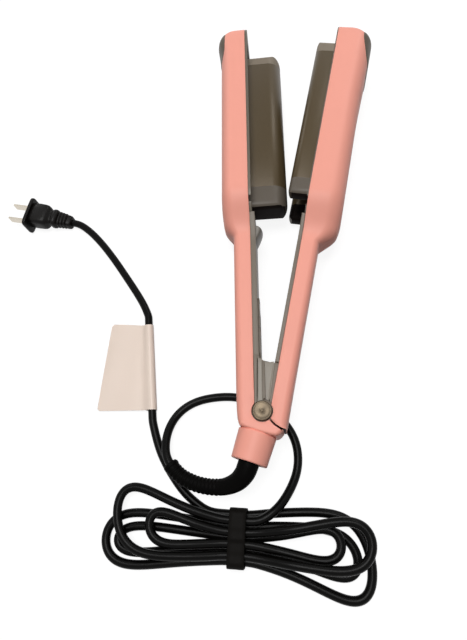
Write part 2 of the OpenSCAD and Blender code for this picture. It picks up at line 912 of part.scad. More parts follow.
module cord_tag() {
    color([0.95, 0.93, 0.92])
    left()
    translate([-84.86, 42, cord_r + 0.5])
        rotate([0, 0, 5.15])
        difference() {
            union() {
                rotate([90, 0, 0])
                    cylinder(r = cord_r + 0.5, h = 66, center = true);
                translate([0, 0, -0.3])
                    linear_extrude(0.6)
                    polygon([[-29.7, 38.8], [-1, 33], [-1, -33], [-42.3, -28.3]]);
            }
            rotate([90, 0, 0])
                cylinder(r = cord_r + 0.15, h = 80, center = true);
        }
}
// Frame of the plug: X across it, Y up, Z from its blade face to the cord
module plug() {
    left()
    translate([-196.2, 180.6, 0])
        rotate([0, 0, -12.7])
        rotate([90, 0, 90])
        children();
}
// Sections of the grip: place, height of the middle, half width, half height
GRIP = concat([[2, 9, 9.6, 7], [9, 9, 9.8, 7], [15.5, 8.5, 9.4, 6.8], [19, 7.9, 8.5, 6.3],
    [21.2, 7.4, 7, 5.6], [22.8, 6.9, 5.8, 4.9]],
    [for (k = [0:9]) [24 + 0.97 * k, 6.5 - 0.2 * k, k % 2 == 0 ? 5.8 : 5.2, k % 2 == 0 ? 4.7 : 4.2]],
    [[33.9, 4.6, 4.6, 4.1], [37.5, 4.2, 4.4, 3.8]]);
function oval(p, w, h) = [for (k = [0:19]) let (c = cos(18 * k), s = sin(18 * k))
    [w * sign(c) * pow(abs(c), 0.7), p[1] + h * sign(s) * pow(abs(s), 0.7), p[0]]];
module plug_body() {
    color(BLACK)
    plug() {
        translate([-0.6, 9.1, 0])
            linear_extrude(3)
            rounded(26.4, 18.2, 2.4);
        skin([for (g = GRIP) each oval(g, g[2], g[3])], 20);
    }
}
module plug_blades() {
    color(METAL)
    plug()
    for (s = [-1, 1])
        translate([s * 6.35 - 1.35, 5.9, -17])
            cube([1.5, 6.4, 17]);
}

echo(cord_in_all = path_length(LEAD) + path_length(HANK) + path_length(TAIL));
union() {  // cord_hank
    fine = [for (i = [0:len(HANK) - 2]) for (k = [0:5]) lerp(HANK[i], HANK[i + 1], k / 6)];
    echo(hank_least_gap = min([for (i = [0:len(fine) - 1]) for (j = [i + 14:1:len(fine) - 1])
        norm(fine[i] - fine[j])]) - cord_diameter);
}

/* ---------- draw the chosen node ---------- */

left_shell();
left_hinge_housing();
left_inner_cover();
left_jaw_frame();
centre_wave_plate();
left_cap_top();
left_cap_bottom();
left_heater();
left_heat_spreaders();
left_thermistor();
left_tip_insert();
control_panel();
display_window();
power_button();
plus_button();
minus_button();
tact_switches();
control_board();
closing_stop();
right_shell();
right_hinge_housing();
right_hinge_arm();
right_inner_cover();
right_jaw_frame();
twin_wave_plate();
right_cap_top();
right_cap_bottom();
right_heaters();
right_heat_spreaders();
right_thermistor();
right_tip_insert();
hinge_pin();
hinge_cap_near();
hinge_cap_far();
hinge_washers();
torsion_spring();
cord_collar();
swivel_sleeve();
contact_rings();
contact_brushes();
cord_boot();
cord_lead();
cord_hank();
cord_tail();
cable_tie();
cord_tag();
plug_body();
plug_blades();
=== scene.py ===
"""Looks of the hair waver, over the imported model."""
import bpy
import bmesh
import json
import math
from mathutils import Matrix, Vector

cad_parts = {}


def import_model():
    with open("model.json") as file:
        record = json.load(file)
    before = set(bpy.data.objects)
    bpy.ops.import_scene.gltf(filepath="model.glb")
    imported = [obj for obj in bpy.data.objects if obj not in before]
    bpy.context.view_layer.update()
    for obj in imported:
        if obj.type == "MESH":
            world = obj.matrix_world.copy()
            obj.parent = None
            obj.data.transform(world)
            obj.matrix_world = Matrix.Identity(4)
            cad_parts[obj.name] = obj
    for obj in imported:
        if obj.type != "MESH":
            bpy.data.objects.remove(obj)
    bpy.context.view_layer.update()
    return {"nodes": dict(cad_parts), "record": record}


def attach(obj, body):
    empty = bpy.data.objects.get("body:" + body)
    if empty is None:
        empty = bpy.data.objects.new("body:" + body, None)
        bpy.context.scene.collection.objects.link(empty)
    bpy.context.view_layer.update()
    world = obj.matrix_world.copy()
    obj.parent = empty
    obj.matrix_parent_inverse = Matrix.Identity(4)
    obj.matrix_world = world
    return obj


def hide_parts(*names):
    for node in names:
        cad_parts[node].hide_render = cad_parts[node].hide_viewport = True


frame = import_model()
nodes = frame["nodes"]

TAU = 2 * math.pi
FOOT = (-15.5, 238.5)         # the row frame's origin in the part's own millimetres
OPEN = math.radians(12.3)     # how far the right arm stands open at rest


def row(p):
    """A point of the part's own millimetres (hinge at 0, 0) in the row frame, metres."""
    return Vector(((p[0] - FOOT[0]) / 1000, (p[1] - FOOT[1]) / 1000, p[2] / 1000))


HINGE = row((0, 0, 0))

# ---------------------------------------------------------------- camera, fitted to the photograph
FOCAL, SENSOR = 28.125, 36    # millimetres
CAMERA_AT = Matrix((
    (0.9934, 0.0487, 0.1037, 0.033277),
    (-0.0087, 0.9344, -0.3561, -0.298060),
    (-0.1142, 0.3529, 0.9287, 0.358000),
    (0, 0, 0, 1)))

cam = bpy.data.objects.new("camera", bpy.data.cameras.new("camera"))
bpy.context.collection.objects.link(cam)
cam.data.lens = FOCAL
cam.data.sensor_width = SENSOR
cam.data.sensor_fit = "AUTO"
cam.data.clip_start = 0.01
cam.matrix_world = CAMERA_AT
bpy.context.scene.camera = cam


# ---------------------------------------------------------------- materials
def lin(r, g, b):
    """A linear colour from display values of 0 to 255."""
    def f(c):
        c /= 255
        return c / 12.92 if c <= 0.04045 else ((c + 0.055) / 1.055) ** 2.4
    return (f(r), f(g), f(b), 1.0)


def dark(c, k):
    """A colour times a brightness."""
    return (c[0] * k, c[1] * k, c[2] * k, 1)


class Mat:
    """A small helper round one node tree."""

    def __init__(self, name):
        self.m = bpy.data.materials.new(name)
        self.m.use_nodes = True
        self.t = self.m.node_tree
        self.b = self.t.nodes["Principled BSDF"]
        self.coord = self.t.nodes.new("ShaderNodeTexCoord").outputs["Object"]

    def node(self, kind, **kw):
        n = self.t.nodes.new(kind)
        for k, v in kw.items():
            setattr(n, k, v)
        return n

    def link(self, a, b):
        self.t.links.new(a, b)

    def noise(self, scale, detail, rough=0.5, stretch=None):
        n = self.node("ShaderNodeTexNoise")
        n.inputs["Scale"].default_value = scale
        n.inputs["Detail"].default_value = detail
        n.inputs["Roughness"].default_value = rough
        src = self.coord
        if stretch:
            mp = self.node("ShaderNodeMapping")
            mp.inputs["Scale"].default_value = stretch
            self.link(src, mp.inputs["Vector"])
            src = mp.outputs["Vector"]
        self.link(src, n.inputs["Vector"])
        return n.outputs["Fac"]

    def ramp(self, fac, stops):
        r = self.node("ShaderNodeValToRGB")
        els = r.color_ramp.elements
        while len(els) < len(stops):
            els.new(0.5)
        for e, (pos, col) in zip(els, stops):
            e.position = pos
            e.color = col
        self.link(fac, r.inputs["Fac"])
        return r.outputs["Color"]

    def span(self, fac, lo, hi):
        r = self.node("ShaderNodeMapRange")
        r.inputs["To Min"].default_value = lo
        r.inputs["To Max"].default_value = hi
        self.link(fac, r.inputs["Value"])
        return r.outputs["Result"]

    def bump(self, height, strength, distance):
        b = self.node("ShaderNodeBump")
        b.inputs["Strength"].default_value = strength
        b.inputs["Distance"].default_value = distance
        self.link(height, b.inputs["Height"])
        self.link(b.outputs["Normal"], self.b.inputs["Normal"])

    def colour(self, fac, stops):
        self.link(self.ramp(fac, stops), self.b.inputs["Base Color"])

    def roughness(self, fac, lo, hi):
        self.link(self.span(fac, lo, hi), self.b.inputs["Roughness"])

    def set(self, **kw):
        for k, v in kw.items():
            self.b.inputs[k.replace("_", " ")].default_value = v


BLOTCH, SHEEN, GRAIN = 38, 160, 2600      # noise scales of a plastic's colour, roughness and bump
FINE = 0.00003                            # depth of a fine bump, metres


def plastic(name, colour, rough, vary, spec=0.5):
    """Moulded plastic with faint blotches, an uneven sheen and a fine grain."""
    m = Mat(name)
    m.colour(m.noise(BLOTCH, 3), [(0.3, dark(colour, 1 - vary)), (0.7, dark(colour, 1 + vary * 0.4))])
    m.roughness(m.noise(SHEEN, 4), *rough)
    m.bump(m.noise(GRAIN, 2), 0.12, FINE)
    m.set(Specular_IOR_Level=spec)
    return m.m


PINK = plastic("pink_plastic", lin(250, 170, 152), rough=(0.42, 0.50), vary=0.015, spec=0.22)
LINER = plastic("liner_plastic", lin(116, 106, 94), rough=(0.40, 0.48), vary=0.04, spec=0.3)
INSERT = plastic("insert_plastic", lin(88, 78, 66), rough=(0.42, 0.50), vary=0.05, spec=0.3)
ARM = plastic("arm_plastic", lin(146, 139, 128), rough=(0.40, 0.48), vary=0.03, spec=0.3)
# The jaw frames' own grey-brown, made darker as painted shade for the shadow inside the jaws
FRAME_SHADED = plastic("frame_plastic_and_shade", lin(92, 83, 70), rough=(0.38, 0.46), vary=0.05)
CAPS = plastic("cap_plastic", lin(130, 119, 104), rough=(0.42, 0.50), vary=0.04, spec=0.3)
# The lower caps' copy of the cap colour, made darker as painted shade
LOW_CAPS_SHADED = plastic("low_cap_painted_shade", lin(92, 84, 74), rough=(0.42, 0.50), vary=0.05, spec=0.3)
STOPPER = plastic("stop_plastic", lin(132, 127, 120), rough=(0.34, 0.42), vary=0.04)
GREY = plastic("grey_plastic", lin(150, 145, 138), rough=(0.36, 0.44), vary=0.03)
BLACK = plastic("black_plastic", lin(8, 6, 5), rough=(0.34, 0.44), vary=0.1, spec=0.14)
LENS = plastic("dark_lens", lin(18, 18, 20), rough=(0.08, 0.12), vary=0.05)
CERAMIC = plastic("ceramic", lin(232, 230, 222), rough=(0.6, 0.7), vary=0.05)
BOARD = plastic("board", lin(40, 110, 70), rough=(0.4, 0.5), vary=0.15)
TAG = plastic("tag_film", lin(238, 220, 206), rough=(0.35, 0.45), vary=0.02)
# Near-black painted shade, for faces that lie in shadow: the caps' lower ends and the valley between the twin
# ridges
SHADE = plastic("painted_shade", lin(14, 7, 5), rough=(0.6, 0.7), vary=0.1, spec=0.08)
# Dark red-brown painted shade for the deep joint line between the hinge housings
SEAM_SHADE = plastic("seam_painted_shade", lin(52, 18, 14), rough=(0.6, 0.7), vary=0.05, spec=0.1)
STRAP = plastic("strap_rubber", lin(11, 9, 7), rough=(0.55, 0.65), vary=0.1, spec=0.06)


def metal(name, colour, rough=(0.28, 0.4)):
    """Brushed metal: streaks that run along x."""
    m = Mat(name)
    streak = m.noise(60, 5, 0.6, stretch=(1, 40, 40))
    m.colour(streak, [(0.3, dark(colour, 0.82)), (0.7, colour)])
    m.roughness(streak, *rough)
    m.bump(streak, 0.1, 0.00005)
    m.set(Metallic=1.0)
    return m.m


STEEL = metal("steel", lin(190, 190, 192))
ALU = metal("aluminium", lin(200, 200, 204))
BRASS = metal("brass", lin(214, 180, 110))
PLATED = metal("plated_brass", lin(214, 205, 190), rough=(0.15, 0.25))

# Brightness of the turned cap at parts of a turn: painted highlight and shade in soft sectors, for the sheen
# of turned metal
SHEEN_SECTORS = [(0.0, 0.8), (0.14, 1.15), (0.3, 0.75), (0.48, 1.0), (0.62, 0.72), (0.8, 1.2), (1.0, 0.8)]


def spun():
    """Turned cap: brown metal whose brightness goes round the axis in soft sectors of painted highlight and
    shade, for the sheen of turned metal.
    """
    m = Mat("spun_metal")
    brown = lin(84, 73, 58)
    mp = m.node("ShaderNodeMapping")
    mp.inputs["Location"].default_value = (-HINGE[0], -HINGE[1], 0)
    m.link(m.coord, mp.inputs["Vector"])
    turn = m.node("ShaderNodeTexGradient", gradient_type="RADIAL")
    m.link(mp.outputs["Vector"], turn.inputs["Vector"])
    m.colour(turn.outputs["Fac"], [(at, dark(brown, k)) for at, k in SHEEN_SECTORS])
    m.roughness(m.noise(700, 3), 0.34, 0.44)
    m.bump(m.noise(1800, 2), 0.08, FINE)
    m.set(Metallic=0.75)
    return m.m


DISC = spun()


def coating():
    """Ceramic paint on the wave plates: brown-grey satin with fine speckle."""
    m = Mat("wave_coating")
    brown = lin(82, 69, 48)
    m.colour(m.noise(3200, 2), [(0.35, dark(brown, 0.86)), (0.65, dark(brown, 1.1))])
    m.roughness(m.noise(500, 4), 0.30, 0.38)
    m.bump(m.noise(2400, 2), 0.1, FINE)
    m.set(Metallic=0.1, Specular_IOR_Level=0.22)
    return m.m


WAVE = coating()


def jacket(name, rough, grain, spec):
    """Black cord jacket and rubber."""
    m = Mat(name)
    black = lin(4, 3.5, 3)
    m.colour(m.noise(90, 4), [(0.3, dark(black, 0.8)), (0.7, dark(black, 1.25))])
    m.roughness(m.noise(300, 4), *rough)
    m.bump(m.noise(grain, 3), 0.15, 0.00004)
    m.set(Specular_IOR_Level=spec)
    return m.m


CORD = jacket("cord_jacket", (0.26, 0.36), 1500, 0.08)
RUBBER = jacket("black_rubber", (0.45, 0.55), 1900, 0.03)

LOOK = {"pink_plastic": PINK, "liner_plastic": LINER, "grey_plastic": GREY, "wave_coating": WAVE,
        "cap_plastic": CAPS, "ceramic": CERAMIC, "aluminium": ALU, "dark_lens": LENS, "black_plastic": BLACK,
        "board": BOARD, "steel": STEEL, "spun_metal": DISC, "brass": BRASS, "black_rubber": RUBBER,
        "cord_jacket": CORD, "tag_film": TAG, "plated_brass": PLATED}
for s in frame["record"]["subparts"]:
    ob = nodes.get(s["node"])
    if ob:
        for held in ob.material_slots:
            held.material = LOOK[s["material_slot"]]


# ---------------------------------------------------------------- mesh helpers
def tidy(bm, angle):
    """Outward normals, smooth faces, and hard edges where two faces meet at more than the angle."""
    bmesh.ops.recalc_face_normals(bm, faces=bm.faces)
    for f in bm.faces:
        f.smooth = True
    for e in bm.edges:
        if len(e.link_faces) == 2:
            e.smooth = e.calc_face_angle(0) < math.radians(angle)


def piece(name, points, faces, body, mat, slot, replaces=(), angle=32):
    """A mesh piece from points in the row frame."""
    me = bpy.data.meshes.new(name)
    me.from_pydata([tuple(p) for p in points], [], faces)
    bm = bmesh.new()
    bm.from_mesh(me)
    bmesh.ops.remove_doubles(bm, verts=bm.verts, dist=1e-7)
    tidy(bm, angle)
    bm.to_mesh(me)
    bm.free()
    me.materials.append(mat)
    ob = bpy.data.objects.new(name, me)
    bpy.context.collection.objects.link(ob)
    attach(ob, body)
    if replaces:
        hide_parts(*replaces)
    return ob


def loft(rings, ends=True):
    """Points and faces of a skin over rings of equal count."""
    n = len(rings[0])
    pts = [p for r in rings for p in r]
    faces = [(i * n + k, i * n + (k + 1) % n, (i + 1) * n + (k + 1) % n, (i + 1) * n + k)
             for i in range(len(rings) - 1) for k in range(n)]
    if ends:
        faces.append(tuple(range(n - 1, -1, -1)))
        faces.append(tuple((len(rings) - 1) * n + k for k in range(n)))
    return pts, faces


def joined(*parts):
    """Several (points, faces) made one."""
    pts, faces = [], []
    for p, f in parts:
        base = len(pts)
        pts += p
        faces += [tuple(i + base for i in q) for q in f]
    return pts, faces


def clamp01(t):
    return min(1.0, max(0.0, t))


def ease(t):
    """0 to 1 with a soft start and end."""
    t = clamp01(t)
    return t * t * (3 - 2 * t)


def lerp(a, b, t):
    return a + (b - a) * t


def unit(v):
    return v / v.length


def catmull(points, n):
    """Smooth curve through points, n steps between each pair."""
    p = [Vector(q) for q in points]
    out = []
    for i in range(len(p) - 1):
        a, b, c, d = p[max(i - 1, 0)], p[i], p[i + 1], p[min(i + 2, len(p) - 1)]
        for k in range(n):
            t = k / n
            out.append(0.5 * (2 * b + (c - a) * t + (2 * a - 5 * b + 4 * c - d) * t * t
                              + (3 * b - a - 3 * c + d) * t ** 3))
    out.append(p[-1])
    return out


def arc(cx, cy, r, a, b, n):
    """Points on a circle from angle a to b, degrees."""
    turns = [math.radians(lerp(a, b, k / n)) for k in range(n + 1)]
    return [(cx + r * math.cos(t), cy + r * math.sin(t)) for t in turns]


# ---------------------------------------------------------------- cord: routes as in the part, millimetres
MID = 25.5                        # height of the arms' middle over the floor
CORD_R = 3.0
TIE = (-20, -76)                  # middle of the tie
WAIST = 9                         # half the straight length of a pass through the tie
LANE_STEP = 2 * CORD_R + 0.95     # between passes side by side
LAYER_STEP = 2 * CORD_R + 0.6     # between layers
SLOPE = 0.07                      # the hank's slant across the floor
HUMP, HUMP_END, HUMP_RUN = 1.2, 30, 21      # lift near the tie, where it starts and over what length
# Lane and layer of each pass through the tie
PASSES = [(1.5, 1), (-1.5, 1), (0.5, 1), (-0.5, 1), (0, 0), (-1, 0), (1, 0), (-2, 0), (2, 0)]
# Reach, rise, half width and lift of the fold after each pass but the last
LOBES = [(81, 12, 13.6, 0), (84, 6, 10, 6.3), (59, 5, 7.6, 0), (66, 2, 8.5, 0), (82, -3, 6.2, 0),
         (76, -9, 9, 0), (90, -3, 9.8, 0), (84, -12, 16, 0)]
LOBE_STEPS = 48
EVENING = 0.0716                  # moves a fold's steps so that they lie about as far apart
CLIMB_FROM, CLIMB = 0.84, 0.16    # the last stretch of a fold, in which it changes layer

BOOT_POINTS = [(-10.9, -32.72, MID), (-13.4, -37.6, 24.3), (-18.6, -42.2, 21.2), (-27, -44.9, 17.6),
               (-37, -44.8, 14.8), (-47, -42.6, 12.9), (-56.4, -38.3, 11.8), (-62.2, -33.4, 11.3),
               (-65.4, -29.4, 11.2)]
BOOT = [Vector((-9.898, -29.723, MID))] + catmull(BOOT_POINTS, 6)


def onward(path, d):
    """The point a distance beyond a path's end."""
    return path[-1] + d * unit(path[-1] - path[-2])


def before(path, d):
    """The point a distance ahead of a path's start."""
    return path[0] + d * unit(path[0] - path[1])


def layer(n):
    return CORD_R + n * LAYER_STEP


def laid(x, y, z):
    """A point of the hank, measured from the tie."""
    return Vector((TIE[0] + x, TIE[1] + y - SLOPE * x, z + HUMP * ease((HUMP_END - abs(x)) / HUMP_RUN)))


def lobe_point(i, t):
    """A point of the fold after pass i, t from 0 to 1."""
    a, b, (reach, rise, half, lift) = PASSES[i], PASSES[i + 1], LOBES[i]
    out = math.sin(math.pi * t)
    side = 1 if a[0] > b[0] else -1
    y = (LANE_STEP * lerp(a[0], b[0], ease(t)) + rise * out * out
         + side * half * math.sin(TAU * t) * (1 - 0.5 * math.cos(TAU * t)) / 1.1)
    z = lerp(layer(a[1]), layer(b[1]), ease((t - CLIMB_FROM) / CLIMB)) + lift * ease(2.6 * out)
    return laid((-1 if i % 2 == 0 else 1) * (WAIST + (reach - WAIST) * out), y, z)


HANK = [laid(WAIST + 2, PASSES[0][0] * LANE_STEP, layer(1))]
for i in range(len(LOBES)):
    HANK += [lobe_point(i, k / LOBE_STEPS + EVENING * math.sin(TAU * k / LOBE_STEPS))
             for k in range(LOBE_STEPS + 1)]
HANK += [laid(x, PASSES[-1][0] * LANE_STEP, layer(0)) for x in (-WAIST, -WAIST - 2)]

LEAD = [onward(BOOT, 0.1)] + catmull(
    [onward(BOOT, 4), (-69.3, -20, 10), (-69.5, -11.5, 7.9), (-67.6, -2.8, 5.5), (-63.4, 4.9, 3.6),
     (-56.2, 11.2, 3), (-46.1, 15.4, 3), (-32.2, 17.3, 3), (-19.1, 16.5, 3), (-5.5, 12.2, 3), (6.6, 4.5, 3),
     (15.4, -5.1, 3), (20.3, -15.2, 3), (21.7, -25.8, 3), (20.2, -36, 3.4), (15.8, -46, 5.2),
     (10, -54.8, 8.2), (4.6, -60.3, 10.2), (-1.8, -64.5, 11), before(HANK, 3)], 8)
TAIL = catmull(
    [onward(HANK, 5), (-42.2, -58.9, 3.2), (-48.3, -54.7, 3), (-55.4, -48.8, 3), (-62, -41, 3),
     (-68, -32.2, 3), (-73.8, -21.8, 3), (-78, -10.5, 3), (-81.2, 1.5, 3.5), (-81.7, 7, 3.5),
     (-88.03, 77.2, 3.5), (-88.5, 82.4, 3.5), (-93, 92.8, 3), (-99.7, 104, 3), (-108, 116.7, 3),
     (-117.2, 130.4, 3), (-125.5, 142, 3), (-134.4, 153.2, 3), (-144, 163.4, 3.6),
     (-153.75, 171.08, 4.2)], 8) + [Vector((-159.6, 172.4, 4.2))]


def cord_curve(name, path):
    """One open spline with the cord's thickness, closed at both ends."""
    cu = bpy.data.curves.new(name, "CURVE")
    cu.dimensions = "3D"
    cu.bevel_depth = CORD_R / 1000
    cu.bevel_resolution = 4
    cu.use_fill_caps = True
    sp = cu.splines.new("POLY")
    sp.points.add(len(path) - 1)
    for q, p in zip(sp.points, path):
        q.co = (*row((p[0], p[1], max(p[2], CORD_R))), 1)
    sp.use_smooth = True
    ob = bpy.data.objects.new(name, cu)
    bpy.context.collection.objects.link(ob)
    return ob


def even(path, step):
    """The same path with points a step apart."""
    out, left = [path[0]], step
    for a, b in zip(path, path[1:]):
        d = (b - a).length
        t = left
        while t <= d:
            out.append(a + (b - a) * (t / d))
            t += step
        left = t - d
    if (path[-1] - out[-1]).length < step / 2:
        out.pop()
    return out + [path[-1]]


MERGE = 0.2               # points closer than this are one, millimetres
ROUTE_STEP = 1.5          # millimetres
ROUTE_PASSES = 10         # of smoothing, against kinks where the route's parts join

route = [LEAD[0]]
for p in LEAD[1:] + HANK + TAIL:
    if (p - route[-1]).length > MERGE:
        route.append(p)
route = even(route, ROUTE_STEP)
for _ in range(ROUTE_PASSES):
    inner = [(a + 2 * b + c) / 4 for a, b, c in zip(route, route[1:], route[2:])]
    route = [route[0]] + inner + [route[-1]]
cord = cord_curve("mains_cord", route)
cord.data.materials.append(CORD)
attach(cord, "left_arm")
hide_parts("cord_lead", "cord_hank", "cord_tail")


# ---------------------------------------------------------------- boot
BOOT_R, BOOT_TIP_R = 7.0, 5.3
BOOT_SIDES = 32
# Parts of the boot's length, and millimetres
RIBS_FROM, RIBS_TO, RIB_PITCH, RIB_DEPTH = 0.40, 0.93, 2.9, 0.24
LIP_FROM, LIP = 0.955, 0.35
ROUND_FROM, ROUND = 0.99, 0.6


def frames(path):
    """Tangent, side and up at each point of a path."""
    out = []
    for i in range(len(path)):
        t = unit(path[min(i + 1, len(path) - 1)] - path[max(i - 1, 0)])
        u = unit(Vector((t[1], -t[0], 0)))
        out.append((t, u, t.cross(u) * -1))
    return out


def boot_radius(q, s):
    """Smooth at first, shallow ribs in the outer part, a small lip at the end; q is s over the length."""
    r = lerp(BOOT_R, BOOT_TIP_R, ease(q * 2)) - 0.2 * q
    if RIBS_FROM < q < RIBS_TO:
        edge = min(1, (q - RIBS_FROM) / 0.05, (RIBS_TO - q) / 0.03)
        r += edge * RIB_DEPTH * max(-0.7, math.cos(TAU * s / RIB_PITCH))
    if q > LIP_FROM:
        r += LIP * ease((q - LIP_FROM) / 0.01)
    if q > ROUND_FROM:
        r -= ROUND * (q - ROUND_FROM) / 0.01
    return r


boot_path = [BOOT[0]] + catmull(BOOT_POINTS, 40)
lengths = [0.0]
for a, b in zip(boot_path, boot_path[1:]):
    lengths.append(lengths[-1] + (b - a).length)
rings = []
for p, s, (t, u, v) in zip(boot_path, lengths, frames(boot_path)):
    r = boot_radius(s / lengths[-1], s)
    turns = [TAU * k / BOOT_SIDES for k in range(BOOT_SIDES)]
    rings.append([row(p + r * (u * math.cos(a) + v * math.sin(a))) for a in turns])
boot = piece("boot", *loft(rings), "left_arm", RUBBER, "black_rubber", ["cord_boot"], 60)


# ---------------------------------------------------------------- forms
CAST = math.cos(OPEN), math.sin(OPEN)


def spot(p, side):
    """A point of an arm's own millimetres in the row frame: z from its middle, side -1 left or 1 right."""
    x, y, z = p
    if side < 0:
        return row((-x, y, z + MID))
    return row((x * CAST[0] + y * CAST[1], y * CAST[0] - x * CAST[1], z + MID))


def swung(p):
    """A point of the right arm, given as the part draws it closed."""
    return spot(p, 1)


def still(p):
    """A point of the left arm or the hinge."""
    return row((p[0], p[1], p[2] + MID))


# Distances from a prism's rim, millimetres, closer together where it is round
LEVELS = [6, 5, 4, 3, 2.2, 1.5, 1, 0.65, 0.4, 0.2, 0.08, 0]


def prism(outline, low, high, place, normals=None):
    """An outline of (x, y, edge radius), counter-clockwise, run from low to high with rounded rims."""
    n = len(outline)
    out = []
    for i in range(n):
        a, b = outline[i - 1], outline[(i + 1) % n]
        out.append(unit(Vector((b[1] - a[1], a[0] - b[0], 0))))
    for i, v in (normals or {}).items():
        out[i] = Vector((*v, 0))
    mid, half = (low + high) / 2, (high - low) / 2
    zs = [half - d for d in LEVELS if d < half]
    rings = []
    for z in [-q for q in reversed(zs)] + zs:
        ring = []
        for (x, y, r), v in zip(outline, out):
            tall = max(1e-6, min(1.2 * r, half))
            t = clamp01((abs(z) - half + tall) / tall)
            d = r * (1 - math.sqrt(1 - t * t))
            ring.append(place((x - d * v[0], y - d * v[1], mid + z)))
        rings.append(ring)
    return loft(rings)


def lathe(profile, place, n=72, closed=False):
    """A profile of (radius, height) turned round its axis; a closed one runs back to its start."""
    turns = [TAU * k / n for k in range(n)]
    rings = [[place((r * math.cos(a), r * math.sin(a), z)) for a in turns] for r, z in profile]
    if closed:
        rings.append(rings[0])
    return loft(rings, ends=not closed)


# ---------------------------------------------------------------- shells
GX, HH, WALL = 5.0, 12.5, 2.0      # an arm's inner face, half the handle's height, wall
SHOULDER, TIP_Y, TIP_R, HEEL_Y = 128, 314, 10, 14
TIP_NARROWING = 4
# A jaw's depth, how late and over what length it swells, where its tip thickens, its corner
LEFT = {"deep": 21, "late": 2.5, "run": 11, "blend": 14, "corner": 9}
RIGHT = {"deep": 26, "late": -1, "run": 13, "blend": 74, "corner": 12}
STATIONS = ([14, 24, 36, 50, 64, 78, 92, 104, 114, 121] + [125 + 1.1 * k for k in range(37)]
            + [170, 178, 188, 198, 208, 218, 228, 238, 246, 254, 262, 270, 278, 284, 290, 296, 300, 303, 306,
               309, 312]
            + [TIP_Y + TIP_R * math.sin(math.radians(5 * k)) for k in range(19)])


def swell(y, arm):
    """0 along the handle, 1 along the jaw."""
    t = (y - SHOULDER - arm["late"]) / arm["run"]
    return 0.82 * ease(clamp01(t) ** 0.75) + 0.18 * ease(t / 2)


def half_width(y):
    return lerp(HH, MID, ease((y - SHOULDER - 3) / 32))


def depth(y, arm):
    handle = HH + 0.6 * clamp01((y - HEEL_Y) / 110) - 0.3
    return lerp(handle, arm["deep"], swell(y, arm)) + 2 * ease((y - TIP_Y + arm["blend"]) / arm["blend"])


def measures(y, arm, inset=0.0):
    """Outer face, half width and corner radii of a shell's section at a station."""
    a = math.asin(clamp01((y - TIP_Y) / TIP_R))
    xo = GX + depth(y, arm) - inset - (TIP_R - inset) * (1 - math.cos(a))
    h = half_width(y) - inset - TIP_NARROWING * (1 - math.cos(a))
    e = swell(y, arm)
    return xo, h, min(lerp(5, arm["corner"], e) - inset * 0.8, xo - GX - 1), lerp(6, 14, e) - inset


def profile(y, arm, inset, n, rim):
    """Half of a section, from the rim to the middle of the outer face."""
    xo, h, rx, rz = measures(y, arm, inset)
    start = [(GX, h - rim), (GX + 0.3 * rim, h - 0.3 * rim), (GX + rim, h)] if rim else [(GX, h)]
    flat = [(lerp(start[-1][0], xo - rx, t), h) for t in (0.33, 0.66)]
    turns = [math.pi / 2 * k / n for k in range(n + 1)]
    return start + flat + [(xo - rx + rx * math.sin(a), h - rz + rz * math.cos(a)) for a in turns]


def both(half):
    """A whole section from its half."""
    return half + [(x, 0) for x, _ in half[-1:]] + [(x, -z) for x, z in reversed(half)]


def shell(name, arm, side, body, node):
    """A hollow arm, open along its inner face and at its heel."""
    loops = []
    for y in STATIONS:
        outer = both(profile(y, arm, 0, 14, 0.5))
        inner = both(profile(y, arm, WALL, 7, 0))
        yi = TIP_Y + (y - TIP_Y) * (TIP_R - WALL) / TIP_R if y > TIP_Y else y
        loops.append([spot((x, y, z), side) for x, z in outer]
                     + [spot((x, yi, z), side) for x, z in reversed(inner)])
    m = len(outer)
    n = len(loops[0])
    pts, faces = loft(loops, ends=False)
    last = (len(loops) - 1) * n
    faces += [tuple(range(n)), tuple(last + k for k in range(m)), tuple(last + k for k in range(m, n)),
              (last, last + m - 1, last + m, last + n - 1)]
    return piece(name, pts, faces, body, PINK, "pink_plastic", [node])


shell("left_shell_skin", LEFT, -1, "left_arm", "left_shell")
shell("right_shell_skin", RIGHT, 1, "right_arm", "right_shell")

# ---------------------------------------------------------------- tip inserts
PATCH_Y, PATCH_LONG = 307.3, 15.2           # middle and half length
PATCH_HALF, PATCH_TIP_HALF = 20, 26.5       # half widths
PATCH_ROWS, PATCH_COLUMNS = 14, 16          # on each side of the middle
PROUD, SUNK = 0.55, -0.4


def on_face(y, s, arm, proud):
    """A point over the outer face, s millimetres round from its middle."""
    xo, h, rx, rz = measures(y, arm)
    flat = h - rz
    if abs(s) <= flat:
        return xo + proud, y, s
    b = math.pi / 2 - (abs(s) - flat) / ((rx + rz) / 2)
    out = unit(Vector((rz * math.sin(b), rx * math.cos(b), 0)))
    z = flat + rz * math.cos(b) + proud * out[1]
    return xo - rx + rx * math.sin(b) + proud * out[0], y, math.copysign(z, s)


def insert(name, arm, side, body, node):
    """The soft patch set into the outer corner of a tip: a superellipse laid over the shell."""
    rings = []
    for i in range(2 * PATCH_ROWS + 1):
        v = math.sin(math.pi / 2 * 0.985 * (i / PATCH_ROWS - 1))
        half = lerp(PATCH_HALF, PATCH_TIP_HALF, ease((v + 1) / 1.6)) * (1 - abs(v) ** 5) ** (1 / 3.4)
        y = PATCH_Y + PATCH_LONG * v
        top, under = [], []
        for k in range(2 * PATCH_COLUMNS + 1):
            w = math.sin(math.pi / 2 * (k / PATCH_COLUMNS - 1))
            edge = max(abs(v), abs(w)) ** 14
            top.append(spot(on_face(y, half * w, arm, PROUD - 0.5 * edge), side))
            under.append(spot(on_face(y, half * w, arm, SUNK), side))
        rings.append(top + under[::-1])
    return piece(name, *loft(rings), body, INSERT, "liner_plastic", [node], 50)


